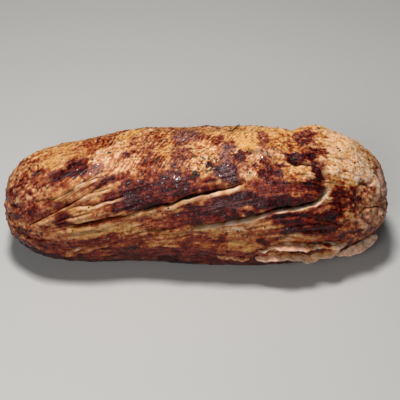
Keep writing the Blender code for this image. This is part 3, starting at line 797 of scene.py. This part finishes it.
def path_of(line, share_along, smoothing=5):
    """Places, outward directions and downhill directions along a line on the joint."""
    knots = np.array(line, float)
    rows = np.column_stack([np.linspace(0, 1, len(knots)), knots])
    fine = np.linspace(0, 1, 60)
    at = [near_point(a, b) for a, b in zip(smooth_curve(fine, rows, 1), smooth_curve(fine, rows, 2))]
    kernel = np.ones(smoothing) / smoothing
    found = []
    for values in (points[at], outward[at], onward[at]):
        padded = np.pad(values, ((smoothing // 2, smoothing // 2), (0, 0)), mode="edge")
        smoothed = np.stack([np.convolve(padded[:, i], kernel, "valid") for i in range(3)], -1)
        found.append(np.stack([np.interp(share_along, fine, smoothed[:, i]) for i in range(3)], -1))
    return found


# how far it sticks out, its thickness, how far it droops, its ripple, browning, gold and the line
RIBBONS = (
    (4.0, 2.0, -0.05, 0.6, 0.02, 0.0, ((40, 101), (47, 97.5), (55, 95), (63, 94.5), (68, 97), (74, 98),
        (80, 98), (88, 99.5), (94, 103), (101, 103))),
    (4.6, 2.0, 0.0, 0.6, 0.04, 0.1, ((39, 107), (48, 105.5), (60, 105), (70, 108), (78, 111), (83, 111))),
    (4.2, 2.6, 0.0, 0.6, 0.06, 0.0, ((76, 108), (84, 109.5), (90, 109), (96, 106))),
    (2.2, 1.4, 0.2, 0.5, 0.20, 0.3, ((14, 108), (26, 108.5), (36, 109))),
)
for number, (out, thick, droop, ripple_mm, brown, yellow, line) in enumerate(RIBBONS):
    piece, share_along, angle = drawn_out("silverskin_flap_%d" % (number + 1), 24, 90)
    place, out_way, down_way = path_of(line, share_along)
    full = np.clip(1 - np.abs(2 * share_along - 1) ** 3, 0, 1) ** 0.5
    wave = np.stack([place[:, 0], np.full(len(place), 9.0 * number), 0 * share_along], -1)
    reach = out * (1 + 0.25 * grain(wave, (9, 1, 1), 41 + number) + 0.1 * grain(wave, (3, 1, 1), 46))
    reach = (reach * np.cos(angle) + 0.15 * out) * full
    sheet = thick / 2 * np.sign(np.sin(angle)) * np.abs(np.sin(angle)) ** 0.7 * full
    sheet *= 1 - 0.35 * np.clip(np.cos(angle), 0, 1)
    rippling = ripple_mm * grain(wave, (10, 1, 1), 51 + number) * np.clip(np.cos(angle), 0, 1)
    shift = droop * np.maximum(reach, 0) + rippling
    body = place + out_way * reach[:, None] + down_way * (sheet + shift)[:, None]
    body += 0.18 * grain(body, 1.6, 61)[:, None] * out_way
    body[:, 2] = np.maximum(body[:, 2], 0.2)
    write_points(piece, body)
    outer = np.clip(np.cos(angle), 0, 1)
    brown = brown + 0.34 * ease(68, 76, place[:, 0]) * (1 - ease(86, 92, place[:, 0])) * (number == 0)
    # darker towards the side that faces into the joint: painted shade
    paint(piece, "browning_and_shade", np.clip(brown + 0.16 * grain(body, 5, 62) + 0.25 * (1 - outer) ** 2, 0, 1))
    paint(piece, "blush", 0.35 + 0.35 * grain(body, 8, 63))
    paint(piece, "gold", yellow + 0.5 * ease(68, 78, place[:, 0]) * (1 - ease(88, 94, place[:, 0])))
    paint(piece, "rim", 0.7 * outer**2 * (brown < 0.2))
    # painted shade on the side that faces into the joint
    paint(piece, "cleft_shade", 1.0 * ease(-0.1, -0.8, np.cos(angle)))
    paint(piece, "front", np.ones(len(place)))
    paint(piece, "across", np.zeros(len(place)))
    piece.data.uv_layers[0].name = "grain_map"
    corners_of = np.empty(len(piece.data.loops), dtype=np.int32)
    piece.data.loops.foreach_get("vertex_index", corners_of)
    map_of = np.stack([place[corners_of, 0] * MM, angle[corners_of] * thick * MM], -1)
    piece.data.uv_layers[0].data.foreach_set("uv", map_of.astype(np.float32).ravel())
    bpy.ops.object.shade_smooth()
    piece.data.materials.append(beef)
    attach(piece, "root")


# ---------------------------------------------------------------------------
# The loose flap at the right end: a tongue of pale meat about 10 mm wide, rooted in the joint,
# with open space between it and the worktop.
FLAP_LINE = ((91, -33, 13.5), (99, -33.5, 14.0), (107, -31, 15.0), (115, -27.5, 16.5), (124, -23, 19.0))
FLAP_HALF_WIDTH = 5.0
FLAP_THICKNESS = 6.5
FLAP_SWING = 24
flap, flap_share, flap_angle = drawn_out("loose_flap", 48, 110)
knots = np.array(FLAP_LINE)
rows = np.column_stack([np.linspace(0, 1, len(knots)), knots])
spine = np.stack([smooth_curve(flap_share, rows, i + 1) for i in range(3)], -1)
flap_full = np.clip(1 - np.abs(2 * flap_share - 1) ** 2.6, 0, 1) ** 0.55
edge_wave = np.stack([spine[:, 0], 0 * flap_share, 0 * flap_share], -1)
width_here = FLAP_HALF_WIDTH * flap_full * (1 + 0.16 * grain(edge_wave, (6, 1, 1), 71))
out_here = np.cos(flap_angle) * width_here
thick_here = np.sign(np.sin(flap_angle)) * np.abs(np.sin(flap_angle)) ** 0.8 * FLAP_THICKNESS / 2 * flap_full
thick_here *= 1 - 0.3 * np.clip(np.cos(flap_angle), 0, 1)
swing = math.radians(FLAP_SWING)
outwards = np.array([math.sin(swing), -math.cos(swing), -0.30])
upwards = np.array([0.0, -0.28, 0.96])
flap_body = spine + outwards * out_here[:, None] + upwards * thick_here[:, None]
flap_body += upwards * (0.9 * grain(flap_body, 8, 72) + 0.4 * grain(flap_body, 3, 73))[:, None]
write_points(flap, flap_body)
flap_edge = np.clip(np.cos(flap_angle), 0, 1)
# browner on the underside: painted shade
flap_browning_and_shade = 0.08 + 0.14 * grain(flap_body, 6, 74) + 0.25 * (np.sin(flap_angle) < -0.2)
paint(flap, "browning_and_shade", np.clip(flap_browning_and_shade, 0, 1))
paint(flap, "blush", 0.35 + 0.3 * grain(flap_body, 8, 75))
paint(flap, "gold", 0.0 * flap_edge)
paint(flap, "rim", 0.35 * flap_edge)
paint(flap, "cleft_shade", 0.0 * flap_edge)
paint(flap, "front", 0.0 * flap_edge)
paint(flap, "across", 0.0 * flap_edge)
flap.data.uv_layers[0].name = "grain_map"
flap_corners = np.empty(len(flap.data.loops), dtype=np.int32)
flap.data.loops.foreach_get("vertex_index", flap_corners)
flap_map = np.stack([flap_body[flap_corners, 0] * MM, out_here[flap_corners] * MM], -1)
flap.data.uv_layers[0].data.foreach_set("uv", flap_map.astype(np.float32).ravel())
bpy.ops.object.shade_smooth()
flap.data.materials.append(beef)
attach(flap, "root")


# ---------------------------------------------------------------------------
# Cracked pepper and burnt crumbs: small dark chips, most about a millimetre across, pressed into
# the crust all over and thickest where it is pale, and larger corns in chosen places.
PEPPER_CHIPS = 850
# the larger corns: x, turn, radius in mm
PEPPERCORNS = (
    (-110, 7, 0.9), (-110, 11, 0.8), (-104, 8, 0.8), (-119, 33, 0.7), (-101, 40, 0.7), (-100, 83, 1.0),
    (-90, 97, 0.8), (-69, 58, 0.6), (-114, 92, 0.7), (-83, 14, 0.7), (-111, 53, 0.6), (-97, 46, 0.6),
    (-78, 4, 0.7), (7, -30, 0.9), (-3, -6, 0.8), (10, 30, 0.8), (-2, 81, 0.8), (-17, 59, 0.9),
    (-8, -40, 0.8), (33, 12, 0.8), (29, 13, 0.7), (117, 25, 0.8), (96, 2, 0.7), (87, 8, 0.7), (55, 84, 0.8),
)
chip_choice = np.random.default_rng(5)
likely = np.where(browning_and_shade < 0.5, 1.0, 0.45) * (fullness > 0.25) * (points[:, 2] > 8) * (cleft_shade < 0.3)
likely *= 0.5 + ease(-0.2, 0.6, grain(points, 16, 81))
likely *= fibre_width
chips = chip_choice.choice(len(points), PEPPER_CHIPS, replace=False, p=likely / likely.sum())
bpy.ops.object.select_all(action="DESELECT")
bpy.ops.mesh.primitive_ico_sphere_add(subdivisions=1, radius=1)
pepper = bpy.context.object
pepper.name = "pepper_chips"
one = np.array([vertex.co[:] for vertex in pepper.data.vertices])
faces = np.array([face.vertices[:] for face in pepper.data.polygons])
places_of, faces_of = [], []
for count, chip in enumerate(chips):
    up = normals[chip]
    flat = np.cross(up, chip_choice.normal(size=3))
    flat /= np.linalg.norm(flat)
    other = np.cross(up, flat)
    size = 0.32 + 0.6 * chip_choice.random() ** 3
    shape = one * (1 + 0.35 * chip_choice.normal(size=(len(one), 1))) * (size, size * 0.75, size * 0.5)
    places_of.append(points[chip] + shape @ np.stack([flat, other, up]) + up * size * 0.15)
    faces_of.append(faces + count * len(one))
for at_x, at_turn, size in PEPPERCORNS:
    chip = near_point(at_x, at_turn)
    shape = one * (1 + 0.14 * chip_choice.normal(size=(len(one), 1))) * size
    places_of.append(points[chip] + shape + normals[chip] * size * 0.4)
    faces_of.append(faces + len(faces_of) * len(one))
pepper.data.clear_geometry()
pepper.data.from_pydata((np.concatenate(places_of) * MM).tolist(), [], np.concatenate(faces_of).tolist())
pepper_black = bpy.data.materials.new("cracked_pepper")
pepper_black.use_nodes = True
tree = pepper_black.node_tree
shader = tree.nodes["Principled BSDF"]
pepper_places = tree.nodes.new("ShaderNodeTexCoord").outputs["Object"]
pepper_tones = ((0.3, linear(18, 12, 10)), (0.7, linear(66, 40, 26)))
wire(ramp(speckle(pepper_places, 400), pepper_tones), shader.inputs["Base Color"])
shader.inputs["Roughness"].default_value = 0.55
pepper.data.materials.append(pepper_black)
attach(pepper, "root")


# ---------------------------------------------------------------------------
# Chopped herb: small flat leaf pieces, one to two and a half millimetres long and scorched to a
# dark olive, in little groups: most on the top, one at the left end and two low on the front.
HERB_GROUPS = (
    (-24, 24, 2.5, 7), (2, 37, 2.0, 7), (10, 30, 2.5, 8), (-8, -16, 4.0, 8), (-21, -4, 3.0, 5),
    (5, 22, 3.0, 6), (72, -3, 2.5, 6), (61, 20, 3.0, 5), (46, 13, 2.5, 5),
    (-100, 40, 3.0, 4), (-40, 98, 3.0, 5),
    (60, 83, 3.0, 4),
)
herb_choice = np.random.default_rng(9)
bpy.ops.object.select_all(action="DESELECT")
bpy.ops.mesh.primitive_ico_sphere_add(subdivisions=2, radius=1)
herbs = bpy.context.object
herbs.name = "herb_pieces"
leaf = np.array([vertex.co[:] for vertex in herbs.data.vertices])
leaf_faces = np.array([face.vertices[:] for face in herbs.data.polygons])
places_of, faces_of = [], []
for at_x, at_turn, reach, count in HERB_GROUPS:
    for _ in range(count):
        chip = near_point(at_x + herb_choice.normal() * reach, at_turn + herb_choice.normal() * reach)
        up = normals[chip]
        flat = np.cross(up, herb_choice.normal(size=3))
        flat /= np.linalg.norm(flat)
        other = np.cross(up, flat)
        length = herb_choice.uniform(0.6, 1.2)
        shape = leaf * (length, length * 0.5, 0.22)
        shape[:, 2] += 0.35 * shape[:, 0] ** 2
        places_of.append(points[chip] + shape @ np.stack([flat, other, up]) + up * 0.15)
        faces_of.append(leaf_faces + len(faces_of) * len(leaf))
herbs.data.clear_geometry()
herbs.data.from_pydata((np.concatenate(places_of) * MM).tolist(), [], np.concatenate(faces_of).tolist())
herb_green = bpy.data.materials.new("scorched_herb")
herb_green.use_nodes = True
tree = herb_green.node_tree
shader = tree.nodes["Principled BSDF"]
herb_places = tree.nodes.new("ShaderNodeTexCoord").outputs["Object"]
herb_tones = ((0.35, linear(26, 24, 12)), (0.65, linear(74, 72, 34)))
wire(ramp(speckle(herb_places, 300), herb_tones), shader.inputs["Base Color"])
shader.inputs["Roughness"].default_value = 0.6
herbs.data.materials.append(herb_green)
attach(herbs, "root")

stem, stem_share, stem_angle = drawn_out("herb_stem", 10, 40)
stem_place, stem_out, _ = path_of(((21, -14), (25, -20), (28, -25), (30, -33)), stem_share)
stem_width = 0.4 * np.clip(1 - np.abs(2 * stem_share - 1) ** 4, 0, 1) ** 0.5
lift = 0.5 + 0.8 * ease(0.3, 1, stem_share)
stem_body = stem_place + stem_out * (lift + stem_width * np.cos(stem_angle))[:, None]
write_points(stem, stem_body + np.array([1.0, 0, 0]) * (stem_width * np.sin(stem_angle))[:, None])
stem.data.materials.append(herb_green)
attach(stem, "root")
